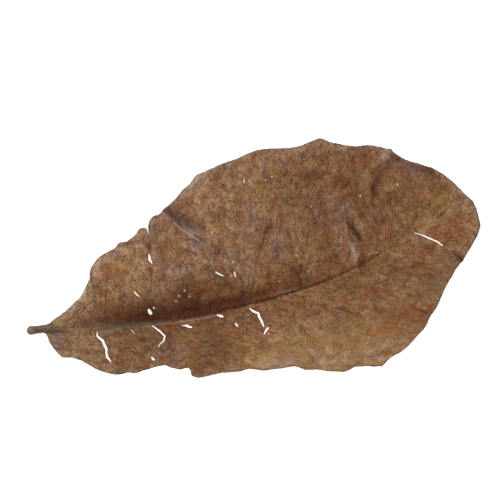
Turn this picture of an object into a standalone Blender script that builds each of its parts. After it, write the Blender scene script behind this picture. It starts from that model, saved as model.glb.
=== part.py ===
"""A fallen leaf of the Indian almond tree, dried brown and lying on its underside.

The petiole stub, the midrib and the blade grew as one piece, so the leaf is one closed solid.
It is a thin shell over a plan triangulation: the plan holds the leaf's margin and the cracks
that go right through it, and each plan point gets an upper and a lower height.

The plan lies in X and Y, in millimetres. +X runs from the petiole to the tip, +Y to the
broader half of the blade, and +Z up, away from the surface that the leaf lies on.
"""

import math

import bmesh
import bpy
import numpy as np
from mathutils import Vector
from mathutils.geometry import delaunay_2d_cdt

MILLIMETRE = 0.001

# Driving dimensions, in millimetres.
BLADE_THICKNESS = 0.4
MARGIN_STEP = 3.4
CRACK_STEP = 2.2
LATTICE_STEP = 4.7
RIB_STEP = 3.6
VEIN_STEP = 4.4
VEIN_DEPTH = 0.55
VEIN_REACH = 2.6
NARROW_HALF_RISE = 4.4
NARROW_HALF_REACH = 21.0
FOLD_GENTLE_REACH = 8.0
FOLD_STEEP_REACH = 4.2

# The margin runs once round the leaf, clockwise from the top of the petiole's broken end.
PETIOLE_UPPER_EDGE = [(-115.2, 0.7), (-112.0, 0.2), (-108.0, -0.3), (-105.2, -0.2)]
BROAD_MARGIN_BASE = [
    (-102.0, 1.3), (-95.5, 4.1), (-91.0, 6.6), (-86.5, 9.4), (-83.4, 12.9), (-80.4, 16.6),
    (-79.2, 19.6), (-77.4, 22.6), (-73.6, 25.8), (-68.0, 28.0), (-64.5, 28.7), (-61.0, 30.6),
    (-57.5, 30.7), (-52.5, 33.3), (-49.8, 35.3), (-46.9, 34.8),
]
# The margin goes in and out again along the crack that opens at it.
EDGE_CRACK = [(-46.5, 33.0), (-46.2, 30.9), (-46.0, 33.0)]
BROAD_MARGIN_MIDDLE = [
    (-45.7, 35.3), (-44.1, 38.4), (-42.2, 40.1), (-39.5, 40.2), (-36.4, 42.0), (-30.4, 45.1),
    (-27.0, 47.6), (-24.3, 49.7), (-20.4, 51.5), (-16.0, 54.7), (-11.0, 55.7), (-3.0, 57.1),
    (6.0, 58.1), (13.3, 59.5), (20.0, 59.5), (29.0, 57.6), (36.5, 56.7), (43.5, 57.6),
    (48.4, 58.2), (51.6, 56.1),
]
BROAD_MARGIN_TIP = [
    (57.0, 53.3), (65.0, 50.4), (70.6, 49.7), (76.8, 47.2), (81.8, 44.5), (84.7, 41.0),
    (91.0, 36.1), (100.0, 30.6), (104.8, 25.6), (109.2, 19.8), (112.0, 14.9),
]
TIP = [(115.4, 9.8), (116.6, 4.0), (116.4, -2.6), (114.8, -5.6)]
NARROW_MARGIN_TIP = [
    (110.5, -10.6), (104.4, -16.7), (101.4, -19.2), (92.3, -28.9), (86.2, -36.6),
    (80.6, -41.6), (77.6, -45.3), (71.0, -50.2), (65.3, -54.1), (57.0, -57.0), (52.3, -59.5),
]
NARROW_MARGIN_MIDDLE = [
    (47.0, -58.9), (38.6, -57.0), (34.0, -58.1), (27.0, -56.3), (19.5, -53.6), (15.0, -52.8),
    (9.5, -49.5), (3.0, -48.8), (-6.0, -47.8), (-13.5, -45.2), (-18.0, -45.5), (-27.0, -44.1),
    (-38.6, -43.8), (-41.3, -42.0), (-42.4, -38.3), (-46.6, -37.9),
]
NARROW_MARGIN_BASE = [
    (-50.4, -36.2), (-54.2, -34.0), (-62.0, -34.0), (-69.0, -34.4), (-73.0, -33.1),
    (-77.2, -33.1), (-84.5, -29.6), (-88.6, -26.6), (-92.4, -22.9), (-97.2, -19.6),
    (-101.2, -18.5), (-105.0, -15.0), (-106.7, -11.0), (-107.2, -6.4),
]
PETIOLE_LOWER_EDGE = [(-108.4, -4.4), (-112.2, -3.5), (-115.7, -3.1), (-116.8, -1.7)]

# Cracks and holes through the blade: each a centre line and its width at the widest.
CRACKS = [
    ([(-82.9, -10.6), (-83.2, -12.2), (-81.2, -14.8), (-80.2, -18.8), (-80.9, -23.0),
      (-79.4, -26.0)], 1.5),
    ([(-59.8, 5.6), (-58.4, 2.4)], 0.6),
    ([(-55.1, -4.9), (-54.6, -8.0)], 1.5),
    ([(-55.1, -13.6), (-52.8, -16.2), (-50.4, -19.9), (-51.8, -22.4), (-54.8, -24.2)], 0.6),
    ([(-59.2, -28.8), (-58.0, -30.4)], 0.9),
    ([(-48.4, 22.0), (-48.9, 19.6), (-47.7, 17.1)], 1.1),
    ([(-39.6, -15.9), (-38.2, -17.2), (-35.9, -19.0)], 0.9),
    ([(-22.7, -16.0), (-19.6, -17.4)], 1.0),
    ([(-14.8, -21.6), (-13.5, -23.8)], 0.9),
    ([(-6.0, -16.0), (-4.3, -17.7), (-2.5, -19.9), (-1.8, -22.2), (-0.6, -26.9)], 1.1),
    ([(1.2, -27.8), (-1.7, -30.2)], 0.6),
    ([(-18.1, 5.7), (-14.9, 2.6)], 0.5),
    ([(-8.9, 3.4), (-8.6, 1.0)], 0.5),
    ([(83.8, 1.3), (89.4, -2.7), (95.5, -8.0)], 0.9),
]

# The midrib in plan, from the petiole's broken end to the tip.
MIDRIB = [
    (-116.8, -1.2), (-110.0, -2.0), (-105.0, -3.0), (-90.0, -6.0), (-75.0, -9.2),
    (-60.0, -11.6), (-45.0, -13.6), (-28.0, -14.8), (-8.0, -14.9), (12.0, -14.1),
    (32.0, -12.4), (50.0, -9.2), (65.0, -5.0), (80.0, 0.6), (95.0, 5.7), (115.8, 9.6),
]
# Along the midrib: X, half width, how far it stands over the blade, how far under it.
RIB_SECTIONS = [
    (-117.0, 1.95, 1.5, 1.7), (-106.0, 2.1, 1.3, 1.7), (-98.0, 2.3, 0.5, 1.9),
    (-75.0, 2.1, 0.25, 1.7), (-40.0, 1.7, 0.1, 1.4), (10.0, 1.3, 0.0, 1.1),
    (60.0, 1.0, 0.0, 0.7), (117.0, 0.6, 0.0, 0.2),
]
# Height of the blade at the midrib, along X.
SPINE_HEIGHTS = [
    (-117.0, 3.1), (-104.0, 2.5), (-80.0, 1.7), (-50.0, 1.25), (-20.0, 1.2), (10.0, 1.7),
    (40.0, 3.4), (70.0, 5.2), (95.0, 5.6), (117.0, 3.4),
]

# The broader half rises from the midrib in a shoulder. Along X: its rise, and the reach it takes.
SHOULDER = [
    (-110.0, 2.0, 10.0), (-90.0, 4.2, 11.0), (-70.0, 5.6, 9.5), (-40.0, 6.2, 9.0),
    (0.0, 6.0, 9.0), (30.0, 5.2, 9.0), (65.0, 3.6, 11.0), (117.0, 1.5, 14.0),
]

# Side veins, each from the midrib towards the margin.
SIDE_VEINS = [
    [(-53.6, -12.6), (-52.0, -3.0), (-50.0, 8.0), (-49.0, 18.0), (-46.8, 29.0)],
    [(-31.0, -14.2), (-29.0, -7.0), (-21.5, 2.0), (-13.5, 15.0), (-9.0, 30.0), (-7.0, 44.0)],
    [(-7.5, -14.6), (-2.4, -7.5), (3.0, 4.0), (11.0, 19.0), (16.5, 34.0), (20.0, 48.0)],
    [(21.6, -12.8), (24.3, -3.6), (30.0, 9.4), (38.0, 19.0), (48.0, 31.7), (60.0, 39.0)],
    [(44.0, -10.0), (49.0, -1.0), (55.0, 9.0), (64.0, 20.0), (75.0, 30.0), (85.0, 37.0)],
    [(62.4, -5.6), (66.0, 5.0), (74.0, 15.0), (86.0, 23.0), (98.0, 27.0)],
    [(80.0, 1.4), (88.0, 10.0), (98.0, 16.0), (107.0, 19.0)],
    [(-77.0, -9.0), (-75.0, 2.0), (-72.0, 12.0), (-68.0, 22.0)],
    [(-92.0, -6.0), (-88.0, -12.0), (-82.0, -20.0), (-77.0, -28.0)],
    [(-70.0, -10.6), (-63.0, -18.0), (-55.0, -26.0), (-50.0, -32.0)],
    [(-45.0, -14.2), (-37.0, -22.0), (-28.0, -31.0), (-22.0, -40.0)],
    [(-18.0, -15.4), (-8.0, -23.0), (2.0, -33.0), (8.0, -43.0)],
    [(8.0, -14.8), (20.0, -22.0), (32.0, -32.0), (40.0, -45.0), (43.0, -53.0)],
    [(33.0, -12.9), (46.0, -19.0), (58.0, -29.0), (65.0, -41.0), (68.0, -48.0)],
    [(55.0, -8.4), (68.0, -13.0), (80.0, -21.0), (87.0, -31.0)],
    [(74.0, -2.2), (86.0, -7.0), (98.0, -12.0), (104.0, -14.0)],
]

# Raised folds where the blade buckled: a line with the steep flank on its left, and its height.
FOLDS = [
    ([(-37.0, 42.0), (-32.0, 33.0), (-25.5, 25.5), (-18.0, 18.0)], 2.6),
    ([(52.0, 26.0), (51.0, 12.0), (51.0, 3.0), (52.5, -5.0)], 2.4),
    ([(84.0, 41.0), (77.0, 37.5), (70.5, 33.5), (67.5, 24.0)], 2.0),
]

# Broad swells and hollows of the dried blade: centre X and Y, the reach along and across it,
# the angle of its long axis in degrees, and its height, below zero where the blade dips.
SWELLS = [
    (18.0, 56.0, 30.0, 18.0, 0.0, 4.6),
    (22.0, 20.0, 30.0, 16.0, 55.0, 2.0),
    (-4.0, 30.0, 26.0, 9.0, 64.0, -1.8),
    (-64.0, 18.0, 18.0, 12.0, 30.0, 2.2),
    (-33.0, 47.5, 17.0, 12.0, 33.0, -11.4),
    (84.0, 49.0, 24.0, 14.0, -35.0, -15.8),
    (104.0, 22.0, 18.0, 12.0, -55.0, 1.8),
    (119.0, 2.0, 12.0, 16.0, 0.0, -3.0),
    (-58.0, -37.0, 20.0, 10.0, 0.0, -7.5),
    (-12.0, -40.0, 20.0, 14.0, 0.0, 3.2),
    (-86.0, -22.0, 14.0, 10.0, -50.0, 2.4),
    (54.0, -62.0, 24.0, 14.0, 8.0, -11.8),
    (40.0, -33.0, 24.0, 12.0, -35.0, 1.8),
    (93.0, -31.0, 16.0, 11.0, 48.0, -7.4),
    (84.0, -12.0, 16.0, 9.0, 20.0, 1.4),
    (-96.0, 6.0, 14.0, 8.0, 30.0, 1.6),
]
# Low waves over the whole blade, with their lengths along and across the leaf.
UNDULATION_HEIGHT = 0.55
UNDULATION_LENGTHS = (23.0, 31.0)

LEAF_COLOUR = (0.216, 0.112, 0.058, 1.0)
LEAF_ROUGHNESS = 0.62


def clear_scene():
    for obj in list(bpy.data.objects):
        bpy.data.objects.remove(obj, do_unlink=True)


def smooth_curve(points, step, closed=False):
    """Points about one step apart on a centripetal Catmull-Rom curve through the given ones."""
    knots = [Vector(p) for p in points]
    if closed:
        knots = [knots[-1], *knots, knots[0], knots[1]]
    else:
        knots = [2 * knots[0] - knots[1], *knots, 2 * knots[-1] - knots[-2]]
    curve = []
    for before, start, end, after in zip(knots, knots[1:], knots[2:], knots[3:]):
        gaps = [math.sqrt((b - a).length) for a, b in ((before, start), (start, end), (end, after))]
        leave = ((start - before) / gaps[0] - (end - before) / (gaps[0] + gaps[1])
                 + (end - start) / gaps[1]) * gaps[1]
        arrive = ((end - start) / gaps[1] - (after - start) / (gaps[1] + gaps[2])
                  + (after - end) / gaps[2]) * gaps[1]
        count = max(1, round((end - start).length / step))
        for i in range(count):
            t = i / count
            ease = 3 * t**2 - 2 * t**3
            curve.append(
                (1 - ease) * start + ease * end
                + (t**3 - 2 * t**2 + t) * leave + (t**3 - t**2) * arrive
            )
    if not closed:
        curve.append(knots[-2])
    return curve


def crack_loop(centre_line, width):
    """A closed loop round a crack: pointed at both ends and widest in the middle."""
    line = smooth_curve(centre_line, CRACK_STEP)
    if len(line) == 2:
        line.insert(1, (line[0] + line[1]) / 2)
    near, far = [line[0]], []
    for i in range(1, len(line) - 1):
        along = (line[i + 1] - line[i - 1]).normalized()
        across = Vector((-along.y, along.x))
        half = 0.5 * width * math.sin(math.pi * i / (len(line) - 1)) ** 0.5
        near.append(line[i] + across * half)
        far.append(line[i] - across * half)
    return near + [line[-1]] + far[::-1]


def offset_from_line(points, line):
    """How far each plan point lies from a line of straight runs, above zero on the line's left."""
    line = np.array([tuple(p) for p in line])
    nearest = np.full(len(points), np.inf)
    for start, end in zip(line, line[1:]):
        run = end - start
        share = np.clip((points - start) @ run / (run @ run), 0, 1)
        gap = points - start - share[:, None] * run
        offset = np.hypot(*gap.T) * np.where(run[0] * gap[:, 1] < run[1] * gap[:, 0], -1, 1)
        nearest = np.where(np.abs(offset) < np.abs(nearest), offset, nearest)
    return nearest


def distance_to_line(points, line):
    return np.abs(offset_from_line(points, line))


def inside(points, loop):
    """Whether each plan point is inside a closed loop, by counting crossings."""
    loop = np.array([tuple(p) for p in loop])
    found = np.zeros(len(points), bool)
    for (x0, y0), (x1, y1) in zip(loop, np.roll(loop, -1, axis=0)):
        spans = (y0 > points[:, 1]) != (y1 > points[:, 1])
        if y0 != y1:
            found ^= spans & (points[:, 0] < (x1 - x0) * (points[:, 1] - y0) / (y1 - y0) + x0)
    return found


def along_x(rows, x, column):
    """One column of a table whose first column is X, read at each x."""
    table = np.array(rows)
    return np.interp(x, table[:, 0], table[:, column])


def middle_height(points, lines):
    """Height of the blade's middle surface: a trough at the midrib, folds, swells, sunken veins."""
    x, y = points.T
    z = along_x(SPINE_HEIGHTS, x, 1)
    offset = offset_from_line(points, lines["midrib"])
    broad = along_x(SHOULDER, x, 1) * (1 - np.exp(-((offset / along_x(SHOULDER, x, 2)) ** 2)))
    narrow = NARROW_HALF_RISE * (1 - np.exp(-((offset / NARROW_HALF_REACH) ** 2)))
    z += np.where(offset > 0, broad, narrow)
    for line, (_, height) in zip(lines["folds"], FOLDS):
        side = offset_from_line(points, line)
        reach = np.where(side > 0, FOLD_STEEP_REACH, FOLD_GENTLE_REACH)
        z += height * np.exp(-((side / reach) ** 2))
    for centre_x, centre_y, reach, breadth, angle, height in SWELLS:
        c, s = math.cos(math.radians(angle)), math.sin(math.radians(angle))
        along = ((x - centre_x) * c + (y - centre_y) * s) / reach
        across = ((y - centre_y) * c - (x - centre_x) * s) / breadth
        z += height * np.exp(-(along**2) - across**2)
    long_wave, cross_wave = UNDULATION_LENGTHS
    waves = np.sin(2 * math.pi * (x + 0.4 * y) / long_wave) * np.sin(2 * math.pi * y / cross_wave)
    z += UNDULATION_HEIGHT * waves * (1 - np.exp(-((offset / NARROW_HALF_REACH) ** 2)))
    for vein in lines["veins"]:
        z -= VEIN_DEPTH * np.exp(-((distance_to_line(points, vein) / VEIN_REACH) ** 2))
    return z


def skin_heights(points, lines):
    """The upper and lower height at each plan point. What would lie under the surface that the
    leaf rests on is pressed flat onto it, which makes the leaf's contact patches."""
    middle = middle_height(points, lines)
    x = points[:, 0]
    share = offset_from_line(points, lines["midrib"]) / along_x(RIB_SECTIONS, x, 1)
    round_off = np.sqrt(np.clip(1 - share**2, 0, 1))
    upper = middle + BLADE_THICKNESS / 2 + along_x(RIB_SECTIONS, x, 2) * round_off
    lower = middle - BLADE_THICKNESS / 2 - along_x(RIB_SECTIONS, x, 3) * round_off
    lower = np.maximum(lower, 0)
    return np.maximum(upper, lower + BLADE_THICKNESS), lower


def lattice(margin, openings, guides):
    """Plan points on a triangular lattice, clear of the margin, the cracks and the guide points."""
    row_step = LATTICE_STEP * math.sqrt(3) / 2
    far_x, far_y = np.abs([tuple(p) for p in margin]).max(axis=0)
    columns, rows = math.ceil(far_x / LATTICE_STEP), math.ceil(far_y / row_step)
    points = np.array([
        ((column + 0.5 * (row % 2)) * LATTICE_STEP, row * row_step)
        for row in range(-rows, rows + 1)
        for column in range(-columns, columns + 1)
    ])
    keep = inside(points, margin)
    keep &= distance_to_line(points, margin + margin[:1]) > 0.5 * LATTICE_STEP
    for loop in openings:
        keep &= distance_to_line(points, loop + loop[:1]) > 0.4 * LATTICE_STEP
    gaps = np.hypot(*(points[:, None] - guides[None]).transpose(2, 0, 1)).min(axis=1)
    return points[keep & (gaps > 0.62 * LATTICE_STEP)]


def guide_points(lines, margin, openings):
    """Plan points in five rows across the midrib's width, and along the folds and side veins."""
    rows = []
    spine = lines["midrib"]
    for before, at, after in zip(spine, spine[1:], spine[2:]):
        along = (after - before).normalized()
        across = Vector((-along.y, along.x)) * float(along_x(RIB_SECTIONS, at.x, 1))
        rows += [at + across * share for share in (-1.0, -0.6, 0.0, 0.6, 1.0)]
    points = np.array([tuple(p) for p in rows])
    for line in lines["folds"] + lines["veins"]:
        row = np.array([tuple(p) for p in line])
        gaps = np.hypot(*(row[:, None] - points[None]).transpose(2, 0, 1)).min(axis=1)
        points = np.vstack([points, row[gaps > 1.6]])
    keep = inside(points, margin) & (distance_to_line(points, margin + margin[:1]) > 0.55)
    for loop in openings:
        keep &= ~inside(points, loop)
        keep &= distance_to_line(points, loop + loop[:1]) > 0.6
    return points[keep]


def plan_triangles():
    """The leaf's plan: its points, and the triangles between the margin and the openings."""
    margin = smooth_curve(
        PETIOLE_UPPER_EDGE + BROAD_MARGIN_BASE + EDGE_CRACK + BROAD_MARGIN_MIDDLE
        + BROAD_MARGIN_TIP + TIP + NARROW_MARGIN_TIP + NARROW_MARGIN_MIDDLE
        + NARROW_MARGIN_BASE + PETIOLE_LOWER_EDGE,
        MARGIN_STEP, closed=True,
    )
    openings = [crack_loop(line, width) for line, width in CRACKS]
    lines = {
        "midrib": smooth_curve(MIDRIB, RIB_STEP),
        "folds": [smooth_curve(line, VEIN_STEP) for line, _ in FOLDS],
        "veins": [smooth_curve(vein, VEIN_STEP) for vein in SIDE_VEINS],
    }
    guides = guide_points(lines, margin, openings)
    inner = np.vstack([guides, lattice(margin, openings, guides)])
    points, edges = [], []
    for loop in [margin, *openings]:
        first = len(points)
        points += loop
        edges += [(first + i, first + (i + 1) % len(loop)) for i in range(len(loop))]
    points += [Vector(p) for p in inner]
    plan, _, triangles, *_ = delaunay_2d_cdt(points, edges, [], 0, 1e-6)
    plan = np.array([tuple(p) for p in plan])
    triangles = np.array(triangles)
    middles = plan[triangles].mean(axis=1)
    keep = inside(middles, margin)
    for loop in openings:
        keep &= ~inside(middles, loop)
    return plan, triangles[keep], lines


def shell_mesh(plan, triangles, upper, lower):
    """One closed mesh: the upper skin, the lower skin turned over, and a wall along each rim."""
    shell = bmesh.new()
    centre = (plan.min(axis=0) + plan.max(axis=0)) / 2
    floor = lower.min()
    places = (plan - centre) * MILLIMETRE
    top = [shell.verts.new((*p, (z - floor) * MILLIMETRE)) for p, z in zip(places, upper)]
    bottom = [shell.verts.new((*p, (z - floor) * MILLIMETRE)) for p, z in zip(places, lower)]
    rim = {}
    for a, b, c in triangles.tolist():
        shell.faces.new((top[a], top[b], top[c]))
        shell.faces.new((bottom[c], bottom[b], bottom[a]))
        for start, end in ((a, b), (b, c), (c, a)):
            if rim.pop((end, start), None) is None:
                rim[start, end] = True
    for start, end in rim:
        shell.faces.new((top[end], top[start], bottom[start]))
        shell.faces.new((top[end], bottom[start], bottom[end]))
    mesh = bpy.data.meshes.new("almond_leaf")
    shell.to_mesh(mesh)
    shell.free()
    mesh.shade_smooth()
    mesh.set_sharp_from_angle(angle=math.radians(55))
    return mesh


def leaf_material():
    material = bpy.data.materials.new("dry_leaf")
    material.use_nodes = True
    shader = material.node_tree.nodes["Principled BSDF"]
    shader.inputs["Base Color"].default_value = LEAF_COLOUR
    shader.inputs["Roughness"].default_value = LEAF_ROUGHNESS
    shader.inputs["Metallic"].default_value = 0.0
    return material


def main():
    clear_scene()
    plan, triangles, lines = plan_triangles()
    used = np.unique(triangles)
    renumber = np.zeros(len(plan), int)
    renumber[used] = np.arange(len(used))
    plan = plan[used]
    upper, lower = skin_heights(plan, lines)
    leaf = bpy.data.objects.new("almond_leaf", shell_mesh(plan, renumber[triangles], upper, lower))
    leaf.data.materials.append(leaf_material())
    bpy.context.scene.collection.objects.link(leaf)


main()
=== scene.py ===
"""The looks of a dried Indian almond leaf: a fine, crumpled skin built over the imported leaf.

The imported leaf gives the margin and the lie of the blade. This script cuts finer cracks into that
plan, fills it with a fine triangulation, reads the blade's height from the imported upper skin, and
adds what a dried leaf has on top of it: veins, buckled panels between them, curled margins and
crack lips. The plan is worked in millimetres, in the frame's own X and Y.
"""

import math

import bpy
import numpy as np
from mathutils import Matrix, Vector, kdtree
from mathutils.geometry import delaunay_2d_cdt


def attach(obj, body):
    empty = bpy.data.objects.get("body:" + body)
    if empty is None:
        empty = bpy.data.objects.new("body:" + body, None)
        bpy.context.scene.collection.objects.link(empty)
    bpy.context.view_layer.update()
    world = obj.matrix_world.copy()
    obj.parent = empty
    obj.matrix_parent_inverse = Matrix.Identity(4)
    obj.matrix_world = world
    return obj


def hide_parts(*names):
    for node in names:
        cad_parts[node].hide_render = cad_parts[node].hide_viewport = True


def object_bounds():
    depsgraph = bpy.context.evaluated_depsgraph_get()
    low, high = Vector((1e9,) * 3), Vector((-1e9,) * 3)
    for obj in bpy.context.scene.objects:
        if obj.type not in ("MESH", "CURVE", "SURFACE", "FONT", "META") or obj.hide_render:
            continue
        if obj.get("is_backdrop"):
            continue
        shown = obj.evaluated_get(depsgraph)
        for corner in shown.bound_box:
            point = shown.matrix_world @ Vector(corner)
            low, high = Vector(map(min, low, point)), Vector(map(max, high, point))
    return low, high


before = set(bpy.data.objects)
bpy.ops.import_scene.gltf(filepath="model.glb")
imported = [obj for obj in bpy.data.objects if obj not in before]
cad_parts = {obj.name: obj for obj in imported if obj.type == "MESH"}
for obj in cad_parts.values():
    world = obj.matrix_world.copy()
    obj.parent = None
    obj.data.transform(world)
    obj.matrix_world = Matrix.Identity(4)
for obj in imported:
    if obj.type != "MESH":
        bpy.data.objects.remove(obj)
cad_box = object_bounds()

NODE = "almond_leaf"
MILLIMETRE = 0.001

# The fine mesh, in millimetres.
LATTICE_STEP = 0.74
LATTICE_JITTER = 0.14
RIM_STEP = 0.6
RIB_STEP = 0.62
BLADE_THICKNESS = 0.34
FLOOR_GAP = 0.02
RIB_CLEAR = 0.2
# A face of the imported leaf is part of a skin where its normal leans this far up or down.
SKIN_LEAN = 0.25
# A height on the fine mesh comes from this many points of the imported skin.
NEIGHBOURS = 15

# The midrib in plan, from the petiole's broken end to the tip, and its sections along X:
# half width, how far it stands over the blade, and how far under it.
MIDRIB = [
    (-116.8, -1.2), (-110, -2), (-105, -3), (-90, -6), (-75, -9.2), (-60, -11.6), (-45, -13.6),
    (-28, -14.8), (-8, -14.9), (12, -14.1), (32, -12.4), (50, -9.2), (65, -5), (80, 0.6), (95, 5.7),
    (115.8, 9.6),
]
RIB_SECTIONS = [
    (-117, 1.95, 1.5, 1.7), (-113, 1.65, 1.4, 1.7), (-108.5, 1.6, 1.3, 1.7), (-104, 1.95, 1.1, 1.7),
    (-98, 2.3, 0.5, 1.9), (-75, 2.1, 0.25, 1.7), (-40, 1.7, 0.1, 1.4), (10, 1.3, 0, 1.1),
    (60, 1, 0, 0.7), (117, 0.6, 0, 0.2),
]
# Rows of points along the midrib, at shares of its half width, and more where it bulges.
RIB_EDGE = 0.93
RIB_ROWS = (-RIB_EDGE, -0.5, 0, 0.5, RIB_EDGE)
BULGE_ROWS = (-0.74, -0.26, 0.26, 0.74)
# The petiole is a rod up to the first X, and the midrib bulges over the blade up to the second.
ROD_END = -104.0
BULGE_END = -62.0
# The petiole dries thinner between its broken end and the blade: X, and the share left.
PETIOLE_WAIST = [
    (-117.5, 0.97), (-114.5, 0.86), (-109.5, 0.78), (-106, 0.84), (-103, 1),
]
# Small sharp corners of the margin: X, Y, and how far it is drawn out there along X and Y.
CORNERS = [
    (103.4, -17.8, 0.8, -0.5), (52, -59.3, -0.2, -0.7), (81.8, 44.5, 0.4, 0.6),
    (-41.3, -42.2, -0.6, -0.5), (-48.6, 34.4, 0.2, 0.7), (-61, 29.9, -0.2, 0.5), (37, -57.8, 0, -0.5),
    (115.7, 9.6, 0.5, 0.3),
]
CORNER_REACH = 0.9

# Side veins, each from the midrib towards the margin, first on the broader half.
SIDE_VEINS = [
    [(-77, -9), (-75, 2), (-72, 12), (-68, 22)],
    [(-53.6, -12.6), (-52, -3), (-50, 8), (-49, 18), (-46.8, 29)],
    [(-31, -14.2), (-29, -7), (-21.5, 2), (-13.5, 15), (-9, 30), (-7, 44)],
    [(-7.5, -14.6), (-2.4, -7.5), (3, 4), (11, 19), (16.5, 34), (20, 48)],
    [(21.6, -12.8), (24.3, -3.6), (30, 9.4), (38, 19), (48, 31.7), (60, 39)],
    [(44, -10), (49, -1), (55, 9), (64, 20), (75, 30), (85, 37)],
    [(62.4, -5.6), (66, 5), (74, 15), (86, 23), (98, 27)],
    [(80, 1.4), (88, 10), (98, 16), (107, 19)],
    [(-92, -6), (-88, -12), (-82, -20), (-77, -28)],
    [(-70, -10.6), (-63, -18), (-55, -26), (-50, -32)],
    [(-45, -14.2), (-37, -22), (-28, -31), (-22, -40)],
    [(-18, -15.4), (-8, -23), (2, -33), (8, -43)],
    [(8, -14.8), (20, -22), (32, -32), (40, -45), (43, -53)],
    [(33, -12.9), (46, -19), (58, -29), (65, -41), (68, -48)],
    [(55, -8.4), (68, -13), (80, -21), (87, -31)],
    [(74, -2.2), (86, -7), (98, -12), (104, -14)],
]
VEIN_STEP = 2.0
VEIN_HALF_WIDTH = 0.5
VEIN_GROOVE = 0.24
VEIN_RIDGE = 0.55
# The vein net in relief: its angle on the broader half and on the narrower, and its cells' size.
RELIEF_GRAIN = (78, -30)
NET_CELL = (5.2, 3.2)
# The colour's grain on each half: its angle, and how far it is drawn out.
BROAD_GRAIN = (94, 1.6)
NARROW_GRAIN = (-26, 2)

# Sharp crests of the raised folds, with their heights.
FOLDS = [
    ([(-37, 42), (-32, 33), (-25.5, 25.5), (-18, 18)], 0.9),
    ([(52, 26), (51, 12), (51, 3), (52.5, -5)], 0.8),
    ([(84, 41), (77, 37.5), (70.5, 33.5), (67.5, 24)], 0.9),
]
# The broader half stands over the midrib's crease as a lip: X, and its height.
LIP = [(-60, 0), (-20, 0.5), (10, 1), (45, 1.1), (62, 0.5), (68, 0)]

# Cracks: centre lines, each row an X, a Y and half the crack's width in hundredths of a millimetre.
CRACKS = [
    [(-82.8, -9.9, 15), (-83.2, -12, 45), (-82.1, -13.5, 50), (-81, -14.9, 60),
     (-80.8, -17, 55), (-80.2, -19.3, 50), (-80.7, -21.2, 50), (-80.7, -23.2, 60),
     (-79.5, -26.3, 25)],
    [(-65.9, -12.8, 10), (-65.5, -13.8, 16), (-64.8, -15.3, 8)],
    [(-59.7, 5.5, 20), (-59.2, 4.2, 32), (-58.2, 2.4, 25)],
    [(-55.1, -4.7, 40), (-54.9, -6.2, 85), (-54.5, -7.7, 60)],
    [(-52.5, -4.3, 12), (-52.1, -5.4, 22)],
    [(-55.4, -13.1, 22), (-53.9, -14.9, 30), (-52.1, -17.4, 30), (-50.2, -19.9, 34),
     (-51.5, -22.2, 34), (-53.3, -22.8, 22), (-54.8, -24.4, 12)],
    [(-59.3, -28.5, 15), (-58.9, -29.6, 42), (-58.1, -30.5, 25)],
    [(-48.2, 21.9, 20), (-48.5, 20.6, 42), (-48.7, 18.9, 60), (-47.7, 17.1, 25)],
    [(-40.9, -16.6, 10), (-39.7, -17, 25), (-38.5, -17.2, 55), (-37.5, -18.1, 42),
     (-36, -18.8, 25)],
    [(-22.5, -15.7, 22), (-21.1, -16.6, 60), (-19.5, -17.4, 20)],
    [(-14.4, -21.7, 25), (-14, -22.8, 48), (-13.6, -23.8, 25)],
    [(-5.8, -16.1, 15), (-4.5, -17.9, 40), (-2.9, -19.2, 36), (-1.9, -19.8, 35),
     (-2.3, -21, 50), (-1.7, -22.9, 48), (-1.3, -24.6, 48), (-0.7, -26.9, 20)],
    [(-1.8, -30.5, 12), (-0.6, -29.2, 40), (0.5, -28.2, 42), (1.4, -27.8, 15)],
    [(-18, 5.7, 25), (-16.7, 4.1, 32), (-14.7, 2.5, 22)],
    [(-8.7, 3.5, 35), (-8.8, 2.2, 32), (-8.7, 0.9, 30)],
    [(83.4, 1.3, 12), (87.5, -1.25, 32), (90, -3.1, 40), (93.3, -5.8, 38),
     (94.4, -7.3, 30), (95.8, -8.2, 12)],
    [(6.9, 47.5, 14), (6.3, 45.4, 14)],
]
CRACK_STEP = 0.4
CRACK_WIDENING = 0.06

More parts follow.
